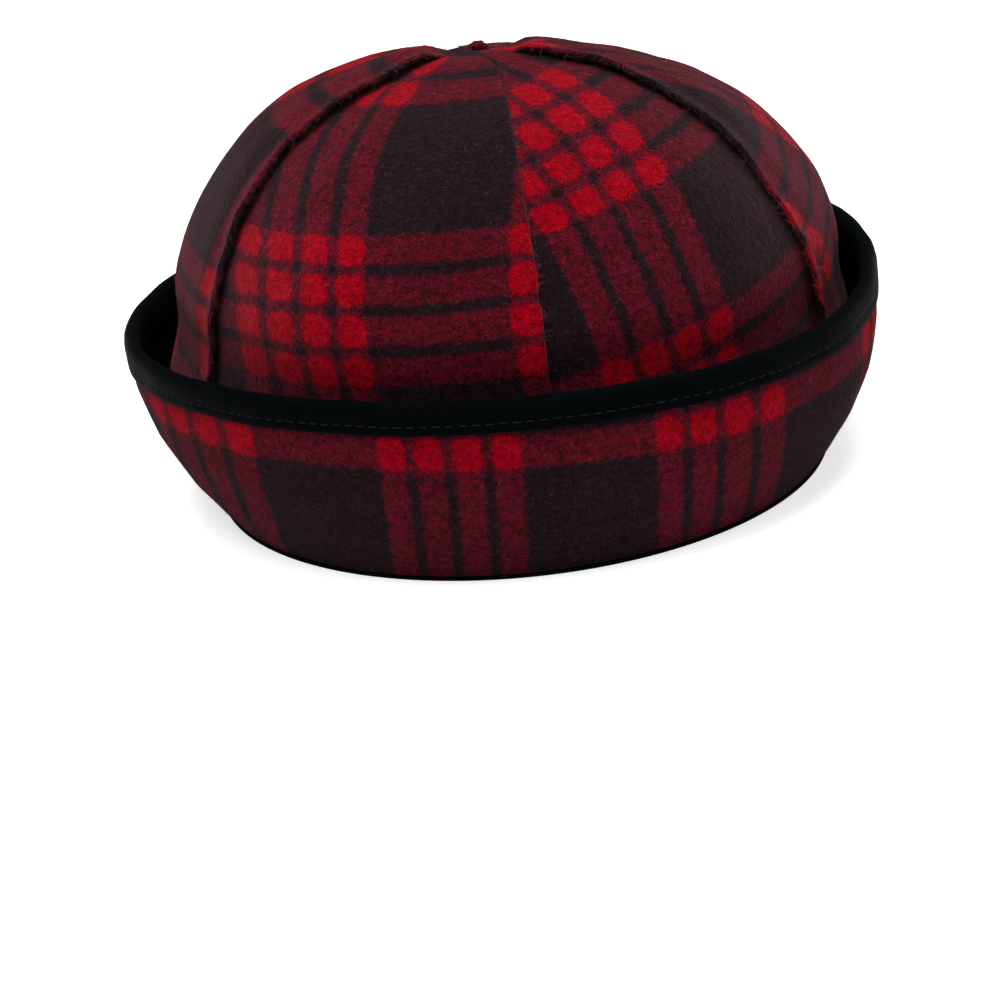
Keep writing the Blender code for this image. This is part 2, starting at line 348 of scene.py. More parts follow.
def band_point(azimuth, rise):
    """The band's outer face at any share of its height."""
    place = 1
    while BAND_PROFILE[place][0] < rise and place < len(BAND_PROFILE) - 1:
        place += 1
    low, high = BAND_PROFILE[place - 1], BAND_PROFILE[place]
    share = (rise - low[0]) / (high[0] - low[0])
    before = BAND_PROFILE[place - 2] if place > 1 else (0, 2 * low[1] - high[1])
    beyond = BAND_PROFILE[place + 1] if place < len(BAND_PROFILE) - 1 else high
    rounded = through((before[1], low[1], high[1], beyond[1]), share)
    straight = low[1] + (high[1] - low[1]) * share
    spread = (rounded + straight) / 2
    stand_rise, stand_spread = stand_at(azimuth)
    spread *= 1 + (stand_spread - 1) * rise
    half_width = HEM_HALF_WIDTH + (BAND_HALF_WIDTH - HEM_HALF_WIDTH) * spread
    half_depth = HEM_HALF_DEPTH + (BAND_HALF_DEPTH - HEM_HALF_DEPTH) * spread
    return on_oval(half_width, half_depth, azimuth, BASE + (BAND_HEIGHT * stand_rise - BASE) * rise)


def band_frame(azimuth, rise):
    """Unit vectors up along the band's wall and outwards from it."""
    nudge = 0.01
    along = band_point(azimuth + 0.5, rise) - band_point(azimuth - 0.5, rise)
    up = band_point(azimuth, min(rise + nudge, 1)) - band_point(azimuth, max(rise - nudge, 0))
    return up.normalized(), along.cross(up).normalized()


HEM_LEAN = math.atan2(
    (BAND_HALF_WIDTH - HEM_HALF_WIDTH) * BAND_PROFILE[1][1], BAND_HEIGHT * BAND_PROFILE[1][0],
)
CROWN_INSET = (WOOL + LINING_CLOTH + 2 * GAP) / math.cos(HEM_LEAN) + HEM_SLACK


def meridian(rise):
    """Height and half-axes of the crown: rise 0 to 1 from the hem to the widest ring, 1 to 2 above it."""
    if rise <= 1:
        tuck = (1 - rise) ** CROWN_TUCK_POWER
        half_width = CROWN_HALF_WIDTH + (HEM_HALF_WIDTH - CROWN_INSET - CROWN_HALF_WIDTH) * tuck
        half_depth = CROWN_HALF_DEPTH + (HEM_HALF_DEPTH - CROWN_INSET - CROWN_HALF_DEPTH) * tuck
        return BASE + (CROWN_WIDEST_HEIGHT - BASE) * rise, half_width, half_depth
    angle = (rise - 1) * math.pi / 2
    climb = math.sin(angle) ** (2 / CROWN_RISE_POWER)
    reach = math.cos(angle) ** (2 / CROWN_REACH_POWER)
    height = CROWN_WIDEST_HEIGHT + (CROWN_HEIGHT - CROWN_WIDEST_HEIGHT) * climb
    return height, CROWN_HALF_WIDTH * reach, CROWN_HALF_DEPTH * reach


def crown_point(azimuth, rise):
    height, half_width, half_depth = meridian(rise)
    return on_oval(half_width, half_depth, azimuth, height)


TIP_RISE = 1 + math.acos((TIP_RADIUS / CROWN_HALF_WIDTH) ** (CROWN_REACH_POWER / 2)) * 2 / math.pi


def crown_normal(azimuth, rise):
    nudge = 0.002
    along = crown_point(azimuth + 1, rise) - crown_point(azimuth - 1, rise)
    up = crown_point(azimuth, min(rise + nudge, TIP_RISE)) - crown_point(azimuth, rise - nudge)
    return along.cross(up).normalized()


def seam_azimuth(number, rise):
    """The azimuth of a seam; seam 6 is seam 0 once more, a full turn later."""
    seam = SEAMS[number % len(SEAMS)]
    turned = seam.hem + (seam.dome - seam.hem) * smooth_share(rise, *SEAM_TURNS)
    return turned + 360 * (number // len(SEAMS))


print("crown tip at rise", round(TIP_RISE, 3))

# %% [markdown]
# ## A cloth wall
#
# Every cloth piece here is a wall: an outer face, an inner face and a narrow edge round it. A Solidify
# modifier would thicken a plain sheet, but then the raw edge is a sharp box. This helper builds both faces
# from a grid of points with their outward directions, and rounds the edge with one more row of points, so a
# cut edge looks like felted wool. It also writes the cloth's own flat coordinates as a UV map named
# "cloth", because a plaid has to follow the cloth and not the room. The lowest rows stay bare of fibres,
# since they would reach into the floor.

# %% A helper that makes a cloth wall
RIM_SHARE = 0.02
ROUND_EDGE = 0.3
BARE_ROWS = 6


def cloth_wall(name, grid, thickness, flat, closed=False, nap_rows=None, rim_core_and_shade_place=None):
    """grid[row][column] is (point, outward unit vector); flat[row][column] is its place on the uncut cloth.

    On a closed wall each row of flat has one place more, where the ring meets its start again.
    """
    rows, columns = len(grid), len(grid[0])
    outer = [[point for point, _ in row] for row in grid]
    inner = [[point - out * thickness for point, out in row] for row in grid]
    points, faces, cloth, napped, cut = [], [], [], [], []

    def keep(sheet):
        start = len(points)
        for row in sheet:
            points.extend(row)
        return start

    outer_start, inner_start = keep(outer), keep(inner)
    spans = range(columns) if closed else range(columns - 1)

    def corner(start, row, column):
        return start + row * columns + column % columns

    def lay_face(corners, places, nap=True, raw=False):
        faces.append(corners)
        cloth.extend(places)
        napped.append(nap)
        cut.append(raw)

    for row in range(rows - 1):
        has_nap = nap_rows is None or row in nap_rows
        for column in spans:
            loop = [(row, column), (row, column + 1), (row + 1, column + 1), (row + 1, column)]
            places = [flat[line][place] for line, place in loop]
            lay_face([corner(outer_start, *at) for at in loop], places, nap=has_nap)
            lay_face([corner(inner_start, *at) for at in reversed(loop)], places[::-1], nap=False)

    def close_edge(path):
        """A rounded rim along a path of grid corners; the outer face lies on the left of the path."""
        start = len(points)
        for row, column in path:
            inward_row = min(max(row, 1), rows - 2)
            inward_column = column if closed else min(max(column, 1), columns - 2)
            middle = (outer[row][column % columns] + inner[row][column % columns]) / 2
            inward = inward_row, inward_column % columns
            away = middle - (outer[inward[0]][inward[1]] + inner[inward[0]][inward[1]]) / 2
            points.append(middle + away.normalized() * thickness * ROUND_EDGE)
        count = len(path)
        for step in range(count if closed else count - 1):
            here, after = path[step], path[(step + 1) % count]
            a, b = start + step, start + (step + 1) % count
            at_here = flat[here[0]][here[1]]
            at_after = flat[here[0]][here[1] + 1] if closed else flat[after[0]][after[1]]
            rim = [at_after, at_here, at_here, at_after]
            shaggy = min(here[0], after[0]) >= BARE_ROWS
            side = [corner(outer_start, *after), corner(outer_start, *here), a, b]
            lay_face(side, rim, nap=False, raw=shaggy)
            # The inner half of a raw edge can be moved to a dark place on the plaid: partly the darker core
            # of cut wool, partly painted shade under a lifted edge.
            if rim_core_and_shade_place:
                rim = [(rim_core_and_shade_place[0] + u * RIM_SHARE, rim_core_and_shade_place[1] + v * RIM_SHARE) for u, v in rim]
            side = [b, a, corner(inner_start, *here), corner(inner_start, *after)]
            lay_face(side, rim, nap=False, raw=shaggy)

    if closed:
        close_edge([(0, column) for column in range(columns)])
        start_faces = len(faces)
        close_edge([(rows - 1, column) for column in range(columns)])
        for index in range(start_faces, len(faces)):
            faces[index] = faces[index][::-1]
            offset = index * 4
            cloth[offset:offset + 4] = cloth[offset:offset + 4][::-1]
    else:
        round_the_grid = [(0, column) for column in range(columns)]
        round_the_grid += [(row, columns - 1) for row in range(1, rows)]
        round_the_grid += [(rows - 1, column) for column in range(columns - 2, -1, -1)]
        round_the_grid += [(row, 0) for row in range(rows - 2, -1, -1)]
        close_edge(round_the_grid)

    mesh = bpy.data.meshes.new(name)
    mesh.from_pydata(points, [], faces)
    layer = mesh.uv_layers.new(name="cloth")
    for loop, place in zip(layer.data, cloth):
        loop.uv = place
    for label, marks in (("nap", napped), ("raw edge", cut)):
        mesh.attributes.new(label, "BOOLEAN", "FACE").data.foreach_set("value", marks)
    mesh.update()
    mesh.shade_smooth()
    return put_in_scene(name, mesh)


print("cloth wall helper ready")

# %% [markdown]
# ## Plaid wool
#
# The wool is a heavy hunting plaid: four red stripes and a wide charcoal field, the same way across as
# along. Where two red stripes cross, the cloth is bright red; where red crosses charcoal, the threads mix
# to burgundy; where charcoal crosses charcoal it is nearly black. So the pattern needs no picture: two
# stripe masks are added, and the sum, 0, 1 or 2, picks the colour. Felting has softened every edge, which
# noise added to the cloth's coordinates copies, and finer noise mixes the single fibres.

# %% The plaid wool
SETT = 0.0780
STRIPES_IN_SETT = 7.25
STRIPES_TOGETHER = 4
STRIPE_HALF = 0.37
STRIPE_SOFTNESS = 0.10
SQUARE_EDGE = (0.22, 0.72)
SQUARE_POWER = 3.0
FELT_BLUR = 0.016
FIBRE_MIX = 1.45
TUFT_MIX = 0.75
MIX_ON_CHARCOAL = 0.38
MIX_MORE_ON_STRIPE = 0.62
MIX_LESS_ON_SQUARE = -0.72
GLINT_FROM = (-0.26, 0.26)
GLINT = (0.45, 1.55)
WEAR = (0.90, 1.10)
WOOL_SHEEN_TINT = (0.76, 0.47, 0.51, 1)

CHARCOAL = (0.0085, 0.0048, 0.0060, 1)
DARK_BURGUNDY = (0.0215, 0.0040, 0.0066, 1)
BURGUNDY = (0.056, 0.0034, 0.0085, 1)
RED_HEATHER = (0.092, 0.0016, 0.0070, 1)
BRIGHT_RED = (0.205, 0.0002, 0.0048, 1)
WOOL_COLOURS = (
    (0.00, CHARCOAL), (0.24, DARK_BURGUNDY), (0.50, BURGUNDY), (0.74, RED_HEATHER), (1.00, BRIGHT_RED),
)


def stripe_masks(tree, place):
    """One way of the cloth, whose unit is one sett: where its stripes are, how far a place lies from the
    middle of its stripe, and where the stripes stand together."""
    pitch = sum_of(tree, "MULTIPLY", sum_of(tree, "FRACT", place), STRIPES_IN_SETT)
    together = sum_of(tree, "LESS_THAN", pitch, STRIPES_TOGETHER)
    beside = sum_of(tree, "ABSOLUTE", sum_of(tree, "SUBTRACT", sum_of(tree, "FRACT", pitch), 0.5))
    edge = (STRIPE_HALF - STRIPE_SOFTNESS, STRIPE_HALF + STRIPE_SOFTNESS)
    soft = map_range(tree, beside, edge, (1, 0), "SMOOTHSTEP")
    return sum_of(tree, "MULTIPLY", soft, together), beside, together


def plaid_colour(tree):
    """The wool's colour from the cloth's own coordinates, and the noise of its fibres and tufts."""
    cloth = add_node(tree, "ShaderNodeAttribute", {"attribute_name": "cloth"}).outputs["Vector"]
    room = add_node(tree, "ShaderNodeTexCoord").outputs["Object"]
    blur = speckle(tree, room, 520.0, 4.0, 0.7)
    shift = sum_of(tree, "SUBTRACT", blur.outputs["Color"], (0.5, 0.5, 0.5), kind="ShaderNodeVectorMath")
    reach = (FELT_BLUR * 2, FELT_BLUR * 2, 0)
    moved = sum_of(tree, "MULTIPLY_ADD", shift, reach, cloth, kind="ShaderNodeVectorMath")
    ways = add_node(tree, "ShaderNodeSeparateXYZ", Vector=moved)
    warp, warp_beside, warp_together = stripe_masks(tree, ways.outputs["X"])
    weft, weft_beside, weft_together = stripe_masks(tree, ways.outputs["Y"])
    powers = [
        sum_of(tree, "POWER", sum_of(tree, "MULTIPLY", beside, 2.0), SQUARE_POWER)
        for beside in (warp_beside, weft_beside)
    ]
    rounded = map_range(tree, sum_of(tree, "ADD", *powers), SQUARE_EDGE, (1, 0), "SMOOTHSTEP")
    square = sum_of(tree, "MULTIPLY", rounded, sum_of(tree, "MULTIPLY", warp_together, weft_together))
    striped = sum_of(tree, "MINIMUM", sum_of(tree, "ADD", warp, weft), 1.0)
    share = sum_of(tree, "MULTIPLY", sum_of(tree, "ADD", striped, square), 0.5)
    fibres = speckle(tree, room, 1800.0, 3.0, 0.75)
    tufts = speckle(tree, room, 560.0, 4.0, 0.7)
    mixed = sum_of(tree, "SUBTRACT", fibres.outputs["Fac"], 0.5)
    patchy = sum_of(tree, "SUBTRACT", tufts.outputs["Fac"], 0.5)
    heather = sum_of(tree, "MULTIPLY_ADD", mixed, FIBRE_MIX, sum_of(tree, "MULTIPLY", patchy, TUFT_MIX))
    loose = sum_of(tree, "MULTIPLY_ADD", striped, MIX_MORE_ON_STRIPE, MIX_ON_CHARCOAL)
    loose = sum_of(tree, "MULTIPLY_ADD", square, MIX_LESS_ON_SQUARE, loose)
    mottled = sum_of(tree, "MULTIPLY_ADD", heather, loose, share)
    ramp = tree.nodes.new("ShaderNodeValToRGB")
    tree.links.new(mottled, ramp.inputs["Fac"])
    for index, (place, colour) in enumerate(WOOL_COLOURS):
        stop = ramp.color_ramp.elements[index] if index < 2 else ramp.color_ramp.elements.new(place)
        stop.position = place
        stop.color = colour
    glint = map_range(tree, sum_of(tree, "ADD", mixed, patchy), GLINT_FROM, GLINT)
    shaded = add_node(tree, "ShaderNodeHueSaturation", Value=glint, Color=ramp.outputs["Color"])
    return shaded.outputs[0], fibres.outputs["Fac"], tufts.outputs["Fac"], room


def make_plaid_wool(name, sheen):
    material, tree = new_material(name)
    colour, fibres, tufts, room = plaid_colour(tree)
    worn = map_range(tree, speckle(tree, room, 26.0, 2.0).outputs["Fac"], (0.3, 0.7), WEAR)
    shaded = add_node(tree, "ShaderNodeHueSaturation", Value=worn, Color=colour)
    height = sum_of(tree, "MULTIPLY_ADD", fibres, 0.6, tufts)
    bump = add_node(tree, "ShaderNodeBump", Strength=0.85, Distance=0.0009, Height=height)
    finish_material(tree, add_node(
        tree, "ShaderNodeBsdfPrincipled", Base_Color=shaded.outputs[0], Normal=bump.outputs[0],
        Roughness=map_range(tree, fibres, (0, 1), (0.82, 1)), Specular_IOR_Level=0.02,
        Sheen_Weight=sheen, Sheen_Roughness=0.30, Sheen_Tint=WOOL_SHEEN_TINT,
    ))
    return material


PLAID_WOOL = make_plaid_wool("plaid_wool", 0.11)
# The band gets its own copy of the same wool with less sheen: painted shade, so the band comes out darker
# than the crown under the same light.
SHADED_BAND_WOOL = make_plaid_wool("band_wool", 0.04)
print("plaid: one sett is", SETT * 1000, "mm")

# %% [markdown]
# ## The six crown panels
#
# Each panel is cut from flat wool and sewn to the next with a lap: the raw edge of the upper panel lies
# over the lower one, and it is so thick that it curls away and throws a shadow. The panel could be sculpted
# by hand, but its shape follows a rule: a ring at each height, a bulge between the seams, and a lift near
# the lap. Noise adds the shallow dents of steamed wool. All layers take the same dents, so none cuts into
# another.
#
# The plaid is charted for each panel: how far its stripes are turned, and where a group of stripes
# starts across and along the cloth.

# %% The crown panels
PANEL_COLUMNS = 76
PANEL_MIDDLE = PANEL_COLUMNS // 2
PANEL_ROWS = 176
EASE_START = 0.100
EASE_LENGTH = 0.070
TURN_HEIGHT = 0.080
# Where the inner half of each raw edge lies on the plaid, in its charcoal: partly the darker core of cut
# wool, partly painted shade under the lifted lap.
RIM_CORE_AND_SHADE_PLACE = (0.74, 0.74)
MM = 0.001

Sag = namedtuple("Sag", "side back rise reach")
SAGS = (
    Sag(0.000, 0.000, 3.0 * MM, 0.030),
    Sag(0.040, 0.032, -5.0 * MM, 0.036),
    Sag(-0.008, 0.036, -0.6 * MM, 0.030),
)
SAG_HEIGHTS = (0.055, 0.100)
LEFT_TUCK = 3.0 * MM
LEFT_TUCK_FROM = 0.050
LEFT_TUCK_HEIGHTS = (0.040, 0.060)
FOOT_TUCK = 2.6 * MM
FOOT_TUCK_GROWS = (0.032, 0.048)
FOOT_TUCK_FADES = (0.050, 0.068)

# Layers of noise: their waves to a unit of place, their height, and how far their start is moved
Ripple = namedtuple("Ripple", "waves height shift", defaults=((0, 0, 0),))
DENTS = (Ripple(38, 0.9 * MM), Ripple(95, 0.35 * MM, (3, 1, 7)))
RAGS = (Ripple(1, 0.9 * MM), Ripple(3.3, 0.6 * MM), Ripple(7, 0.5 * MM))
DENTED_RISE = 1.1
RAG_WAVES = 24
CURL_WAVES = 9
CURL_UNEVEN = 0.45

Cut = namedtuple("Cut", "name puff warp_turn weft_turn across along squeeze")
CUTS = (
    Cut("crown_panel_front_right", 0.50, 2.5, 11, -33.6, 99.8, 0.0),
    Cut("crown_panel_side_right", 0.65, 28, 17, -6.5, 70.0, 0.0),
    Cut("crown_panel_back_right", 0.25, 3, 2, -44.0, 50.0, 0.0),
    Cut("crown_panel_back_left", 0.35, -2, -3, 12.0, 84.0, 0.0),
    Cut("crown_panel_side_left", 1.00, 8, -3, 38.5, 44.5, 0.0),
    Cut("crown_panel_front_left", 0.50, 9, 1, -33.8, 55.0, 5.0),
)


def ripple(place, layers):
    return sum(noise.noise(place * layer.waves + Vector(layer.shift)) * layer.height for layer in layers)


def settled(point):
    """How far the crown has moved at a place: gathered up at the tack, sagging at the back, and tucked in
    on its left side and just above the cuff."""
    height = 0
    for way in SAGS:
        away = math.hypot(point.x - AXIS.x - way.side, point.y - AXIS.y - way.back)
        height += way.rise * math.exp(-(away / way.reach) ** 2)
    height *= smooth_share(point.z, *SAG_HEIGHTS)
    left = LEFT_TUCK * smooth_share(AXIS.x - point.x, LEFT_TUCK_FROM, CROWN_HALF_WIDTH)
    left *= smooth_share(point.z, *LEFT_TUCK_HEIGHTS)
    foot = FOOT_TUCK * smooth_share(point.z, *FOOT_TUCK_GROWS)
    foot *= 1 - smooth_share(point.z, *FOOT_TUCK_FADES)
    inwards = Vector((AXIS.x - point.x, AXIS.y - point.y, 0)).normalized()
    return inwards * foot + Vector((left, 0, height))


def shift_along(number, rise, distance):
    """An azimuth for a distance along the ring from a seam."""
    _, half_width, half_depth = meridian(rise)
    azimuth = seam_azimuth(number, rise)
    radius = (on_oval(half_width, half_depth, azimuth, 0) - AXIS).length
    return azimuth + math.degrees(distance / radius)


LAP_LIFTED_AT = 0.0014


def lap_at(rise):
    """Half the lap's width, the lift of the upper layer and the share of its curl, at a height."""
    height, half_width, _ = meridian(rise)
    high = smooth_share(half_width, LAP_END_RADIUS, LAP_START_RADIUS) if rise > 1 else 1
    half_lap = LAP / 2 * smooth_share(rise, LAP_END_RISE, LAP_START_RISE) * high
    lift = LIFT * smooth_share(rise, LIFT_END_RISE, LAP_END_RISE)
    if rise > 1:
        lift *= min(1, half_lap / LAP_LIFTED_AT)
    curl = high * smooth_share(height - meridian(LAP_START_RISE)[0], 0, CURL_REACH)
    return half_lap, lift, curl


def lifted(seam, own_side, rise, distance):
    """How far a panel stands off at a distance from its raw edge: up on top of the lap, or pressed in."""
    half_lap, lift, curl = lap_at(rise)
    flat_until = 2 * half_lap + LAP_CLEARANCE
    ramp = 1 - smooth_share(distance, flat_until, flat_until + LAP_RAMP)
    if seam.top_panel != own_side:
        return -lift * seam.pressed * ramp
    tip = max(0, 1 - distance / LAP) ** 1.5
    wave = 1 + CURL_UNEVEN * noise.noise(Vector((rise * CURL_WAVES, seam.hem * 0.37, 2.5)))
    return lift * (1 - seam.pressed) * ramp + EDGE_CURL * seam.curl * curl * tip * wave


def ragged(number, side, rise):
    """The small waves of a raw edge, in metres along the cloth."""
    place = Vector((rise * RAG_WAVES, number * 9.1, side * 5.3))
    return ripple(place, RAGS) * SEAMS[number % len(SEAMS)].rough


def panel_row(number, cut, rise):
    """One row of a panel from seam to seam: its points and their outward directions."""
    half_lap, _, _ = lap_at(rise)
    _, half_width, _ = meridian(rise)
    edge = GAP / 2 if half_lap < GAP else -half_lap
    rough_share = smooth_share(half_lap, 0, LAP / 2)
    start = shift_along(number, rise, edge + ragged(number, 0, rise) * rough_share)
    end = shift_along(number + 1, rise, -edge + ragged(number + 1, 1, rise) * rough_share)
    swell = PANEL_PUFF * cut.puff * smooth_share(rise, LIFT_END_RISE, LAP_START_RISE)
    swell *= smooth_share(half_width, LAP_END_RADIUS, CROWN_HALF_WIDTH / 2)
    dented = smooth_share(rise, LAP_END_RISE, DENTED_RISE)
    dented *= smooth_share(half_width, LAP_END_RADIUS, LAP_START_RADIUS)
    width = math.radians(end - start) * half_width
    row = []
    for column in range(PANEL_COLUMNS + 1):
        even = column / PANEL_COLUMNS
        share = (even + (1 - math.cos(math.pi * even)) / 2) / 2
        azimuth = start + (end - start) * share
        base = crown_point(azimuth, rise)
        out = crown_normal(azimuth, rise)
        lift = swell * math.sin(math.pi * share) + ripple(base, DENTS) * dented
        lift += lifted(SEAMS[number], "after", rise, share * width)
        lift += lifted(SEAMS[(number + 1) % len(SEAMS)], "before", rise, (1 - share) * width)
        row.append((base + out * lift + settled(base), out))
    return row


def lengths_along(points):
    """How far each point lies along a line, from the first one on."""
    across = [0.0]
    for here, after in zip(points, points[1:]):
        across.append(across[-1] + (after - here).length)
    return across


def charted_row(cut, points, along):
    """Where a row of a panel lay on the uncut plaid, in setts; along is its way up the panel's middle."""
    if along > EASE_START:
        along = EASE_START + EASE_LENGTH * math.log(1 + (along - EASE_START) / EASE_LENGTH)
    across = lengths_along(points)
    turn = math.radians(cut.warp_turn)
    places = []
    for place in across:
        place -= across[PANEL_MIDDLE]
        if place < 0:
            place += cut.squeeze * place * place
        warp = place * math.cos(turn) + (along - TURN_HEIGHT) * math.sin(turn)
        weft = along - place * math.tan(math.radians(cut.weft_turn))
        places.append(((warp - cut.across * MM) / SETT, (weft - cut.along * MM) / SETT))
    return places


def crown_panel(number, cut):
    grid, flat = [], []
    climbed = 0
    for row in range(PANEL_ROWS):
        grid.append(panel_row(number, cut, TIP_RISE * row / (PANEL_ROWS - 1)))
        if row:
            climbed += (grid[row][PANEL_MIDDLE][0] - grid[row - 1][PANEL_MIDDLE][0]).length
        flat.append(charted_row(cut, [point for point, _ in grid[row]], climbed))
    nap_rows = range(BARE_ROWS, PANEL_ROWS)
    made = cloth_wall(cut.name + "_wool", grid, WOOL, flat, nap_rows=nap_rows, rim_core_and_shade_place=RIM_CORE_AND_SHADE_PLACE)
    made.data.materials.append(PLAID_WOOL)
    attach(made, "root")
    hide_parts(cut.name)
    return made


panels = [crown_panel(number, cut) for number, cut in enumerate(CUTS)]
print("crown panels:", [len(panel.data.polygons) for panel in panels], "faces")

# %% [markdown]
# ## The earflap band
#
# The band is one deep strip of the same wool. Turned up, it makes a cuff that leans away from the crown and
# waves a little round the head. It is made as one closed cloth wall, from the hem to the raw top edge that
# the tape will cover. One row of red squares shows just below the tape. The plaid is eased a little towards
# the cap's sides, as the stripes in the photograph ask, and from there it runs evenly round to the back
# seam.

# %% The earflap band
BAND_COLUMNS = 480
BAND_ROWS = 44
BAND_SETT = 0.0720
BAND_ACROSS = -48.3 * MM
BAND_ALONG = 40.5 * MM
BAND_SHORTER = 0.78
BAND_DIP = 5.5 * MM
BAND_DIP_AZIMUTH = 32
BAND_DIP_REACH = 60
BAND_RIPPLES = (Ripple(1, 1.3 * MM, (4, 2, 9)), Ripple(2.7, 0.55 * MM))
BAND_WAVES = 2.6
BAND_WAVES_UP = 0.9
NAP_ON_BAND = 0.86
Ease = namedtuple("Ease", "start end share")
LEFT_EASE = Ease(0.074, 0.150, 0.30)
RIGHT_EASE = Ease(0.045, 0.130, 0.20)
STRAIGHT_FROM = 62
STRAIGHT_RISE = 0.60
BACK_SEAM_DEPTH = 0.8 * MM
BACK_SEAM_REACH = 1.3


def band_dent(azimuth, rise):
    """The band's shallow waves and the groove of its seam at the back, none at the hem."""
    angle = math.radians(azimuth)
    place = Vector((math.sin(angle) * BAND_WAVES, -math.cos(angle) * BAND_WAVES, rise * BAND_WAVES_UP))
    groove = BACK_SEAM_DEPTH * math.exp(-((180 - abs(azimuth)) / BACK_SEAM_REACH) ** 2)
    waves = ripple(place, BAND_RIPPLES) * smooth_share(rise, 0.05, 0.6)
    return waves - groove * smooth_share(rise, 0.02, 0.2)


def charted_place(azimuth, across, climbed):
    """Where a point of the band lay on the uncut plaid, in setts; across is its way round from the front."""
    ease = LEFT_EASE if across < 0 else RIGHT_EASE
    eased = min(max(abs(across) - ease.start, 0), ease.end - ease.start) * ease.share
    across = math.copysign(abs(across) - eased, across)
    dip = BAND_DIP * math.exp(-((azimuth - BAND_DIP_AZIMUTH) / BAND_DIP_REACH) ** 2)
    return (across - BAND_ACROSS) / BAND_SETT, (climbed - BAND_ALONG + dip) * BAND_SHORTER / BAND_SETT


def band_layer(name, depth, thickness, columns, rows, nap_rows=None):
    """A closed wall at a depth behind the band's outer face."""
    grid, flat = [], []
    climbed = [0.0] * (columns + 1)
    before = None
    azimuths = [360 * column / columns - 180 for column in range(columns + 1)]
    ring = [band_point(azimuth, STRAIGHT_RISE) for azimuth in azimuths]
    for row in range(rows):
        rise = row / (rows - 1)
        line = []
        for azimuth in azimuths[:-1]:
            _, out = band_frame(azimuth, rise)
            line.append((band_point(azimuth, rise) + out * (band_dent(azimuth, rise) - depth), out))
        points = [point for point, _ in line] + [line[0][0]]
        across = [0.0]
        for column, azimuth in enumerate(azimuths[:-1]):
            here, after = (ring if abs(azimuth) > STRAIGHT_FROM else points)[column:column + 2]
            across.append(across[-1] + (after - here).length)
        if before:
            climbed = [
                height + (point - low).length for height, point, low in zip(climbed, points, before)
            ]
        before = points
        from_front = [way - across[columns // 2] for way in across]
        grid.append(line)
        flat.append([charted_place(*place) for place in zip(azimuths, from_front, climbed)])
    return cloth_wall(name, grid, thickness, flat, closed=True, nap_rows=nap_rows)


napped_rows = range(2, int(BAND_ROWS * NAP_ON_BAND))
band = band_layer("earflap_band_wool", 0, WOOL, BAND_COLUMNS, BAND_ROWS, nap_rows=napped_rows)
# The band wears the low-sheen copy of the wool, a painted shade.
band.data.materials.append(SHADED_BAND_WOOL)
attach(band, "root")
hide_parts("earflap_band")
print("band:", len(band.data.polygons), "faces")

# %% [markdown]
# ## The black lining
#
# Inside the cuff lies a thin black lining, seen at the left and the right where the band stands off the
# crown. It is the same wall as the band, a little further in. Its cloth is a fine smooth weave: two crossed
# waves and a little noise for the slubs, with no sheen; the tape and the head band get a low one.

# %% Black cloths
LINING_COLUMNS = 300
LINING_ROWS = 30
SLUB_WOBBLE = 2.2
BLACK_SHEEN_TINT = (0.5, 0.7, 0.8, 1)


def woven_cloth(name, colour, lighter, thread, roughness, sheen, depth):
    """A dark woven cloth whose threads follow the piece's own flat coordinates, in metres."""
    material, tree = new_material(name)
    cloth = add_node(tree, "ShaderNodeAttribute", {"attribute_name": "cloth"}).outputs["Vector"]
    room = add_node(tree, "ShaderNodeTexCoord").outputs["Object"]
    slub = speckle(tree, room, 450.0, 4.0, 0.6)
    ways = add_node(tree, "ShaderNodeSeparateXYZ", Vector=cloth)
    turns = math.tau / thread
    wobble = sum_of(tree, "MULTIPLY", slub.outputs["Fac"], SLUB_WOBBLE)
    warp = sum_of(tree, "SINE", sum_of(tree, "MULTIPLY_ADD", ways.outputs["X"], turns, wobble))
    weft = sum_of(tree, "SINE", sum_of(tree, "MULTIPLY_ADD", ways.outputs["Y"], turns, wobble))
    threads = sum_of(tree, "MULTIPLY_ADD", warp, weft, slub.outputs["Fac"])
    shade = colour_between(tree, map_range(tree, threads, (-0.6, 1.8), (0, 1)), colour, lighter)
    rough = map_range(tree, slub.outputs["Fac"], (0, 1), (roughness - 0.1, roughness + 0.1))
    bump = add_node(tree, "ShaderNodeBump", Strength=0.55, Distance=depth, Height=threads)
    finish_material(tree, add_node(
        tree, "ShaderNodeBsdfPrincipled", Base_Color=shade, Roughness=rough, Normal=bump.outputs[0],
        Specular_IOR_Level=0.012, Sheen_Weight=sheen, Sheen_Roughness=0.4, Sheen_Tint=BLACK_SHEEN_TINT,
    ))
    return material


BLACK_LINING = woven_cloth(
    "black_lining", (0.0008, 0.0008, 0.0009, 1), (0.0020, 0.0020, 0.0023, 1),
    thread=0.0006, roughness=0.80, sheen=0.0, depth=0.0001,
)
BINDING_TAPE = woven_cloth(
    "binding_tape", (0.0002, 0.0006, 0.0007, 1), (0.0008, 0.0017, 0.0020, 1),
    thread=0.0007, roughness=0.60, sheen=0.003, depth=0.00016,
)
HEAD_BAND = woven_cloth(
    "head_band_cloth", (0.0015, 0.0015, 0.0017, 1), (0.004, 0.004, 0.0045, 1),
    thread=0.0009, roughness=0.75, sheen=0.01, depth=0.0002,
)

lining = band_layer("earflap_lining_cloth", WOOL + GAP, LINING_CLOTH, LINING_COLUMNS, LINING_ROWS)
for loop in lining.data.uv_layers["cloth"].data:
    loop.uv = loop.uv * BAND_SETT
lining.data.materials.append(BLACK_LINING)
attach(lining, "root")
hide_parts("earflap_lining")
print("lining:", len(lining.data.polygons), "faces")

# %% [markdown]
# ## The binding tape
#
# A black bias tape is folded over the raw top edge of the band. Its folded top is full and round, because
# it wraps wool and lining together, and below the line of stitches its legs lie flat. A bevelled curve
# could follow the edge too, but the tape's section isn't round, so its points are set out one by one: up
# the outer leg, over the bead and down the inner leg, at every step round the cap. The stitches pull it in
# a little.

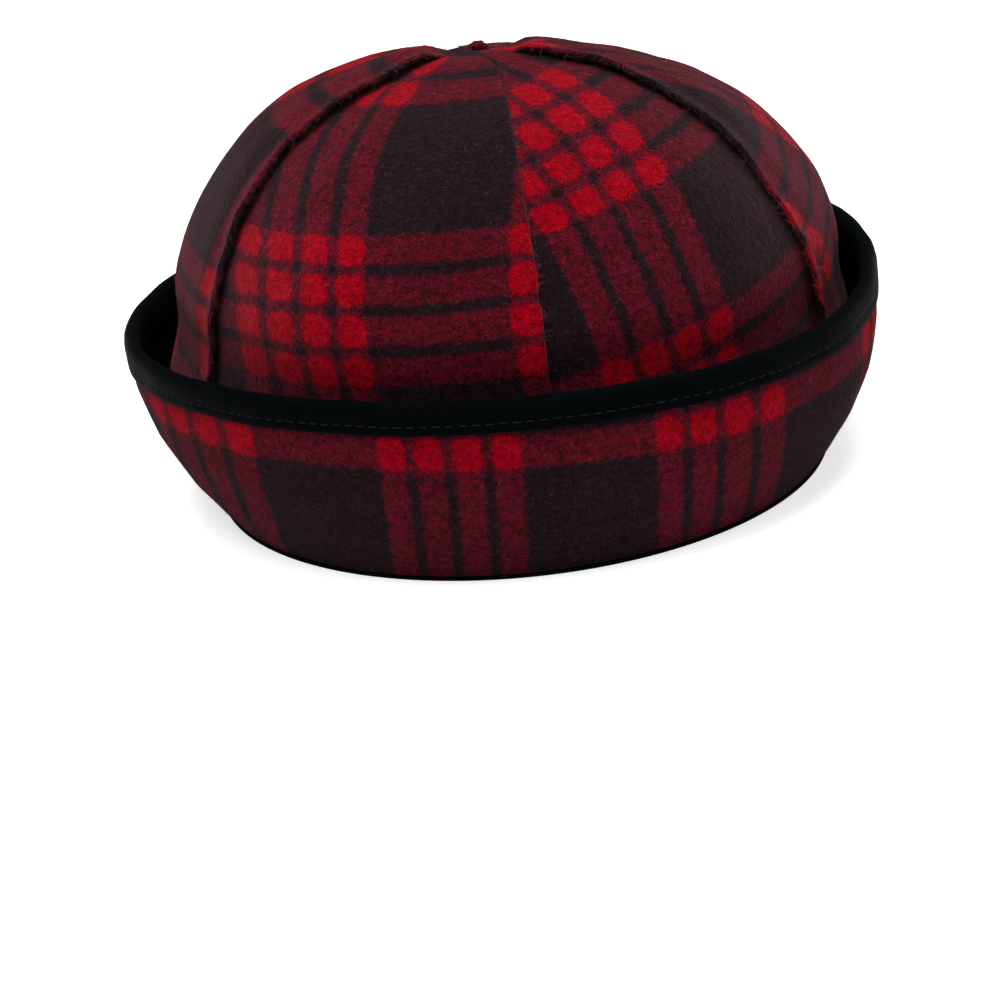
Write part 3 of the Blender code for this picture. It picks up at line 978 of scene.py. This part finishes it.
# %% The binding tape
TAPE_COLUMNS = 480
TAPE_LEG = 0.0056
TAPE_STITCH = 0.0032
TAPE_SHOULDER = 0.0012
TAPE_BEAD_HALF = 0.0023
TAPE_BEAD_HEIGHT = 0.0027
TAPE_BEAD_STEPS = 14
TAPE_FLAT = (WOOL + GAP + LINING_CLOTH) / 2 + GAP + TAPE_CLOTH
TAPE_WAVES = 9
TAPE_WAVE = 0.22 * MM
TAPE_LOOSE = 0.10 * MM
STITCH_PITCH = 0.0034
STITCH_LENGTH = 0.0024
STITCH_THICKNESS = 0.00042
STITCH_SINK = 0.00002
STITCH_LINE_STEPS = 720

# The outer leg from the tape's raw edge up to its bead: how far it stands off flat, and how far down it lies
TAPE_LEG_POINTS = (
    (0.00 * MM, -TAPE_LEG),
    (0.10 * MM, -TAPE_LEG * 0.90),
    (0.12 * MM, -TAPE_LEG * 0.78),
    (0.04 * MM, -TAPE_STITCH - 0.6 * MM),
    (-0.10 * MM, -TAPE_STITCH),
    (0.05 * MM, -TAPE_STITCH + 0.7 * MM),
    (0.12 * MM, -TAPE_SHOULDER),
)


def tape_section():
    """Points round the tape's outer face: outwards from the wall's middle, and up from its raw edge."""
    leg = [(TAPE_FLAT + stands_off, up) for stands_off, up in TAPE_LEG_POINTS]
    bead = []
    for step in range(TAPE_BEAD_STEPS + 1):
        angle = math.pi * step / TAPE_BEAD_STEPS
        bead.append((TAPE_BEAD_HALF * math.cos(angle), TAPE_BEAD_HEIGHT * math.sin(angle)))
    return leg + bead + [(-out, up) for out, up in reversed(leg)]


def tape_point(azimuth, outwards, upwards):
    up, out = band_frame(azimuth, 1)
    angle = math.radians(azimuth)
    place = Vector((math.sin(angle) * TAPE_WAVES, math.cos(angle) * TAPE_WAVES, 0))
    wave = noise.noise(place) * TAPE_WAVE
    loose = noise.noise(place * 4 + Vector((0, 0, upwards * 300))) * TAPE_LOOSE
    middle = band_point(azimuth, 1) + out * (band_dent(azimuth, 1) - (WOOL + GAP + LINING_CLOTH) / 2)
    return middle + out * (outwards + math.copysign(loose, outwards)) + up * (upwards + wave)


def bind_edge():
    section = tape_section()
    grid, flat = [], []
    climbed = 0
    for row, (outwards, upwards) in enumerate(section):
        low, high = section[max(row - 1, 0)], section[min(row + 1, len(section) - 1)]
        tilt = Vector((high[1] - low[1], low[0] - high[0])).normalized()
        if row:
            climbed += math.dist(section[row - 1], (outwards, upwards))
        line = []
        for column in range(TAPE_COLUMNS):
            azimuth = 360 * column / TAPE_COLUMNS
            up, out = band_frame(azimuth, 1)
            line.append((tape_point(azimuth, outwards, upwards), out * tilt.x + up * tilt.y))
        grid.append(line)
        flat.append([(place, climbed) for place in lengths_along([point for point, _ in line + line[:1]])])
    made = cloth_wall("edge_binding_tape", grid, TAPE_CLOTH, flat, closed=True)
    made.data.materials.append(BINDING_TAPE)
    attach(made, "root")
    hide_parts("edge_binding")
    return made


tape = bind_edge()
print("tape:", len(tape.data.polygons), "faces")

# %% [markdown]
# ## Stitches
#
# One row of stitches holds the tape. A stitch is a short soft thread that lies along its line, and there
# are hundreds of them, so Geometry Nodes place them: the line is cut into equal steps, and each step gets
# one flattened ball, turned along the line. The tree is written here once, with its sizes as inputs.

# %% Geometry Nodes for stitches


def new_tree(name, inputs):
    """A Geometry Nodes tree with a geometry input and output and the given inputs."""
    tree = bpy.data.node_groups.new(name, "GeometryNodeTree")
    tree.interface.new_socket("Geometry", in_out="INPUT", socket_type="NodeSocketGeometry")
    for label, kind, default in inputs:
        socket = tree.interface.new_socket(label, in_out="INPUT", socket_type=kind)
        if default is not None:
            socket.default_value = default
    tree.interface.new_socket("Geometry", in_out="OUTPUT", socket_type="NodeSocketGeometry")
    return tree, tree.nodes.new("NodeGroupInput").outputs


def send_out(tree, instances, material):
    """Make plain mesh of the instances, give it its material and end the tree."""
    real = add_node(tree, "GeometryNodeRealizeInstances", Geometry=instances)
    dressed = add_node(tree, "GeometryNodeSetMaterial", Geometry=real.outputs[0], Material=material)
    add_node(tree, "NodeGroupOutput", Geometry=dressed.outputs[0])
    return tree


def stitch_tree():
    tree, given = new_tree("stitches", (
        ("Pitch", "NodeSocketFloat", STITCH_PITCH),
        ("Size", "NodeSocketVector", (1, 1, 1)),
        ("Thread", "NodeSocketMaterial", None),
    ))
    curve = add_node(tree, "GeometryNodeMeshToCurve", Mesh=given["Geometry"])
    steps = add_node(
        tree, "GeometryNodeResampleCurve", {"mode": "LENGTH"},
        Curve=curve.outputs["Curve"], Length=given["Pitch"],
    )
    tangent = tree.nodes.new("GeometryNodeInputTangent")
    turned = add_node(tree, "FunctionNodeAlignRotationToVector", {"axis": "X"}, Vector=tangent.outputs[0])
    ball = add_node(tree, "GeometryNodeMeshUVSphere", Segments=6, Rings=5, Radius=0.5)
    smooth = add_node(tree, "GeometryNodeSetShadeSmooth", Geometry=ball.outputs["Mesh"])
    place = add_node(
        tree, "GeometryNodeInstanceOnPoints",
        Points=steps.outputs["Curve"], Instance=smooth.outputs[0],
        Rotation=turned.outputs[0], Scale=given["Size"],
    )
    return send_out(tree, place.outputs["Instances"], given["Thread"])


def grow(name, source_mesh, tree, values):
    """Run a tree on a mesh and keep the result as a plain mesh."""
    carrier = put_in_scene(name + "_carrier", source_mesh)
    worker = carrier.modifiers.new("grow", "NODES")
    worker.node_group = tree
    for item in tree.interface.items_tree:
        if item.item_type == "SOCKET" and item.in_out == "INPUT" and item.name in values:
            worker[item.identifier] = values[item.name]
    carrier.update_tag()
    bpy.context.view_layer.update()
    evaluated = carrier.evaluated_get(bpy.context.evaluated_depsgraph_get())
    mesh = bpy.data.meshes.new_from_object(evaluated)
    bpy.data.objects.remove(carrier)
    mesh.name = name
    return put_in_scene(name, mesh)


def ring_mesh(name, points):
    mesh = bpy.data.meshes.new(name)
    mesh.from_pydata(points, [(step, (step + 1) % len(points)) for step in range(len(points))], [])
    return mesh


THREAD = woven_cloth(
    "black_thread", (0.002, 0.004, 0.0046, 1), (0.008, 0.012, 0.0135, 1),
    thread=0.0003, roughness=0.45, sheen=0.04, depth=0.00005,
)
STITCHES = stitch_tree()
stitch_line = [
    tape_point(360 * step / STITCH_LINE_STEPS, TAPE_FLAT - STITCH_SINK, -TAPE_STITCH)
    for step in range(STITCH_LINE_STEPS)
]
topstitch = grow("binding_topstitch", ring_mesh("stitch_line", stitch_line), STITCHES, {
    "Pitch": STITCH_PITCH,
    "Size": (STITCH_LENGTH, STITCH_THICKNESS, STITCH_THICKNESS),
    "Thread": THREAD,
})
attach(topstitch, "root")
print("topstitch:", len(topstitch.data.polygons), "faces")

# %% [markdown]
# ## The head band and the tack
#
# Inside the hem runs a narrow black head band whose foot turns out under the fold. It is what the cap
# stands on, and from outside only a thin black line of it shows. At the top, a small stitched knot covers
# the place where the six panels meet. It starts as a ball that is pressed flat, and noise makes it a lump
# of felted wool.

# %% The head band
HEAD_BAND_COLUMNS = 300
HEAD_BAND_FOOT = (0, 0.5, 0.9)
HEAD_BAND_FOLD_RISE = 0.1
HEAD_BAND_RISES = (0.04, 0.10, 0.16, 0.22, LIFT_END_RISE, 0.36, 0.44, 0.52, LAP_END_RISE)


def sew_head_band():
    inset = (WOOL + GAP) / math.cos(HEM_LEAN / 2) + HEM_SLACK
    _, wide, deep = meridian(0)
    azimuths = [360 * column / HEAD_BAND_COLUMNS for column in range(HEAD_BAND_COLUMNS)]
    up = Vector((0, 0, 1))
    rows = []
    for share in HEAD_BAND_FOOT:
        width = HEM_HALF_WIDTH + (wide - inset - HEM_HALF_WIDTH) * share
        depth = HEM_HALF_DEPTH + (deep - inset - HEM_HALF_DEPTH) * share
        rows.append([(on_oval(width, depth, azimuth, HEAD_BAND_CLOTH), up) for azimuth in azimuths])
    rows.append([
        (
            on_oval(wide - inset, deep - inset, azimuth, HEAD_BAND_CLOTH),
            up + crown_normal(azimuth, HEAD_BAND_FOLD_RISE),
        )
        for azimuth in azimuths
    ])
    for rise in HEAD_BAND_RISES:
        height, width, depth = meridian(rise)
        rows.append([
            (on_oval(width - inset, depth - inset, azimuth, height), crown_normal(azimuth, rise))
            for azimuth in azimuths
        ])
    step = math.tau * CROWN_HALF_WIDTH / HEAD_BAND_COLUMNS
    flat, climbed = [], 0
    for number, row in enumerate(rows):
        if number:
            climbed += (row[0][0] - rows[number - 1][0][0]).length
        flat.append([(step * column, climbed) for column in range(HEAD_BAND_COLUMNS + 1)])
    made = cloth_wall("head_band_cloth", rows, HEAD_BAND_CLOTH, flat, closed=True)
    made.data.materials.append(HEAD_BAND)
    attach(made, "root")
    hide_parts("head_band")
    return made


head_band = sew_head_band()
print("head band:", len(head_band.data.polygons), "faces")

# %% The tack
TACK_RINGS = 20
TACK_SEGMENTS = 40
TACK_SINK = 1.6 * MM
TACK_HEIGHT = CROWN_HEIGHT + GAP + TACK_HALF_HEIGHT - TACK_SINK
TACK_REACH = TACK_RADIUS * 0.85
TACK_LUMPS = (Ripple(2.3, 0.16), Ripple(7, 0.05))
TACK_GATHERED = 0.10
TACK_PLACE = (0.07, 0.80)


def knot_tack():
    points, faces = [], []
    middle = AXIS + Vector((0, 0, TACK_HEIGHT))
    for ring in range(TACK_RINGS + 1):
        polar = math.pi * ring / TACK_RINGS
        for segment in range(TACK_SEGMENTS):
            angle = math.tau * segment / TACK_SEGMENTS
            ring_reach = math.sin(polar)
            ball = Vector((ring_reach * math.cos(angle), ring_reach * math.sin(angle), math.cos(polar)))
            lump = 1 + ripple(ball, TACK_LUMPS)
            reach = TACK_REACH * lump * (1 - TACK_GATHERED * abs(math.sin(3 * angle)) * ring_reach)
            knot = Vector((ball.x * reach, ball.y * reach, ball.z * TACK_HALF_HEIGHT * lump))
            points.append(middle + knot + settled(middle))
    for ring in range(TACK_RINGS):
        low, high = ring * TACK_SEGMENTS, (ring + 1) * TACK_SEGMENTS
        for segment in range(TACK_SEGMENTS):
            after = (segment + 1) % TACK_SEGMENTS
            faces.append((low + segment, high + segment, high + after, low + after))
    mesh = bpy.data.meshes.new("apex_tack_knot")
    mesh.from_pydata(points, [], faces)
    layer = mesh.uv_layers.new(name="cloth")
    for loop, corner in zip(layer.data, mesh.loops):
        place = points[corner.vertex_index] - AXIS
        loop.uv = (place.x / SETT + TACK_PLACE[0], place.y / SETT + TACK_PLACE[1])
    mesh.attributes.new("nap", "BOOLEAN", "FACE").data.foreach_set("value", [True] * len(faces))
    mesh.shade_smooth()
    made = put_in_scene("apex_tack_knot", mesh)
    made.data.materials.append(PLAID_WOOL)
    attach(made, "root")
    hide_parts("apex_tack")
    return made


tack = knot_tack()
print("tack:", len(tack.data.polygons), "faces")

# %% [markdown]
# ## Fuzz
#
# Felted wool never ends in a clean line. Short fibres stand off it everywhere, pale against the charcoal,
# and the raw edges are full of them. Hair particles could make them, but the export keeps only plain
# meshes, so Geometry Nodes strew thin bent ribbons over the faces that show. Each fibre carries the cloth's
# flat coordinates of the place it grows from, so it takes the plaid's colour there.

# %% Geometry Nodes for fuzz
Fibres = namedtuple("Fibres", "where per_m2 length width")
NAP = Fibres("nap", 470000, 0.0012, 0.000045)
SHAG = Fibres("raw edge", 2600000, 0.0020, 0.00006)
FIBRE_SHARES = (0.35, 1.35)
FIBRE_BEND = ((0, 0, -0.10), (0.50, 0.22, 0.16), (1.0, -0.12, 0.06))
FIBRE_TURNS = ((-0.4, -0.35, 0), (0.4, 0.15, math.tau))
PALER = 0.06
PALE_FIBRE = (0.42, 0.27, 0.27, 1)


def fuzz_tree():
    tree, given = new_tree("fuzz", (
        ("Where", "NodeSocketString", NAP.where),
        ("Density", "NodeSocketFloat", NAP.per_m2),
        ("Length", "NodeSocketFloat", NAP.length),
        ("Width", "NodeSocketFloat", NAP.width),
        ("Seed", "NodeSocketInt", 1),
        ("Wool", "NodeSocketMaterial", None),
    ))
    shown = add_node(tree, "GeometryNodeInputNamedAttribute", {"data_type": "BOOLEAN"}, Name=given["Where"])
    roots = add_node(
        tree, "GeometryNodeDistributePointsOnFaces", Mesh=given["Geometry"],
        Selection=shown.outputs["Attribute"], Density=given["Density"], Seed=given["Seed"],
    )
    start, middle, end = FIBRE_BEND
    bend = add_node(
        tree, "GeometryNodeCurveQuadraticBezier", Resolution=3, Start=start, Middle=middle, End=end,
    )
    across = add_node(tree, "GeometryNodeCurvePrimitiveLine", Start=(-0.5, 0, 0), End=(0.5, 0, 0))
    slim = add_node(
        tree, "GeometryNodeTransform", Geometry=across.outputs["Curve"],
        Scale=sum_of(tree, "DIVIDE", given["Width"], given["Length"]),
    )
    ribbon = add_node(
        tree, "GeometryNodeCurveToMesh", Curve=bend.outputs["Curve"], Profile_Curve=slim.outputs[0],
    )
    spin = add_node(
        tree, "FunctionNodeRandomValue", {"data_type": "FLOAT_VECTOR"},
        Min=FIBRE_TURNS[0], Max=FIBRE_TURNS[1], Seed=given["Seed"],
    )
    turn = add_node(
        tree, "FunctionNodeRotateRotation", {"rotation_space": "LOCAL"},
        Rotation=roots.outputs["Rotation"], Rotate_By=spin.outputs[0],
    )
    reach = add_node(tree, "FunctionNodeRandomValue", {"data_type": "FLOAT"})
    reach.inputs[2].default_value, reach.inputs[3].default_value = FIBRE_SHARES
    place = add_node(
        tree, "GeometryNodeInstanceOnPoints",
        Points=roots.outputs["Points"], Instance=ribbon.outputs["Mesh"],
        Rotation=turn.outputs[0], Scale=sum_of(tree, "MULTIPLY", reach.outputs[1], given["Length"]),
    )
    return send_out(tree, place.outputs["Instances"], given["Wool"])


def make_wool_fibre():
    material, tree = new_material("wool_fibre")
    colour, fibres, _, room = plaid_colour(tree)
    paler = colour_between(tree, PALER, colour, PALE_FIBRE)
    uneven = map_range(tree, speckle(tree, room, 160.0, 1.0).outputs["Fac"], (0.3, 0.75), (0.5, 2.2))
    shaded = add_node(tree, "ShaderNodeHueSaturation", Value=uneven, Color=paler)
    finish_material(tree, add_node(
        tree, "ShaderNodeBsdfPrincipled", Base_Color=shaded.outputs[0], Specular_IOR_Level=0.2,
        Roughness=map_range(tree, fibres, (0, 1), (0.6, 0.9)),
    ))
    return material


WOOL_FIBRE = make_wool_fibre()
FUZZ = fuzz_tree()


def grow_fibres(name, wool_piece, fibres, seed):
    made = grow(name, wool_piece.data, FUZZ, {
        "Where": fibres.where,
        "Density": fibres.per_m2,
        "Length": fibres.length,
        "Width": fibres.width,
        "Seed": seed,
        "Wool": WOOL_FIBRE,
    })
    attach(made, "root")
    return made


fuzzes = {}
for seed, wool_piece in enumerate(panels + [band, tack], 1):
    plain_name = wool_piece.name.rsplit("_", 1)[0]
    fuzzes[wool_piece.name] = [grow_fibres(plain_name + "_fuzz", wool_piece, NAP, seed)]
    if wool_piece in panels:
        fuzzes[wool_piece.name].append(grow_fibres(plain_name + "_shag", wool_piece, SHAG, seed))
print("fibres:", sum(len(fuzz.data.polygons) for grown in fuzzes.values() for fuzz in grown) // 3)

# %% [markdown]
# ## The cloth walls
#
# Cloth hardly stretches, and a panel is a pointed leaf. Ten of the pieces are cloth walls: the six
# panels, the band, the lining, the tape and the head band.

print("sheets declared:", len(panels) + 4)
